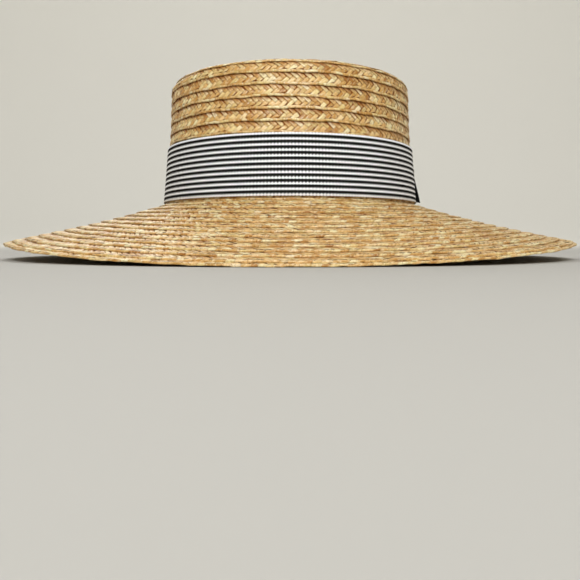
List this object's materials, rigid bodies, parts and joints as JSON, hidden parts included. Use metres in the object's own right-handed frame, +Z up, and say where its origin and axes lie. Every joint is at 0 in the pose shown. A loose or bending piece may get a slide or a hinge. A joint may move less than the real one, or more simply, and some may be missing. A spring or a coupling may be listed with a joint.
{
  "type": "straw boater hat with a wide brim",
  "caption": "Wide-brimmed straw boater with a flat oval crown of plaited braid, a striped ribbon band and a flat black side bow.",
  "frame": {"origin": "on the surface that the hat rests on, under the middle of its bounding box", "axes": "+Z up, the front of the hat faces -Y, the wearer's left is +X"},
  "size_m": [0.3882, 0.4152, 0.123],
  "materials": {
    "straw": "natural wheat straw braid, satin",
    "striped_ribbon": "ribbed grosgrain, white with narrow black stripes along it, matt",
    "black_ribbon": "ribbed black grosgrain, matt"
  },
  "bodies": {
    "root": {"crown_side": "straw", "crown_tip": "straw", "brim": "straw", "hat_band": "striped_ribbon", "bow_tails": "black_ribbon", "bow_loops": "black_ribbon", "bow_knot": "black_ribbon"}
  },
  "joints": []
}
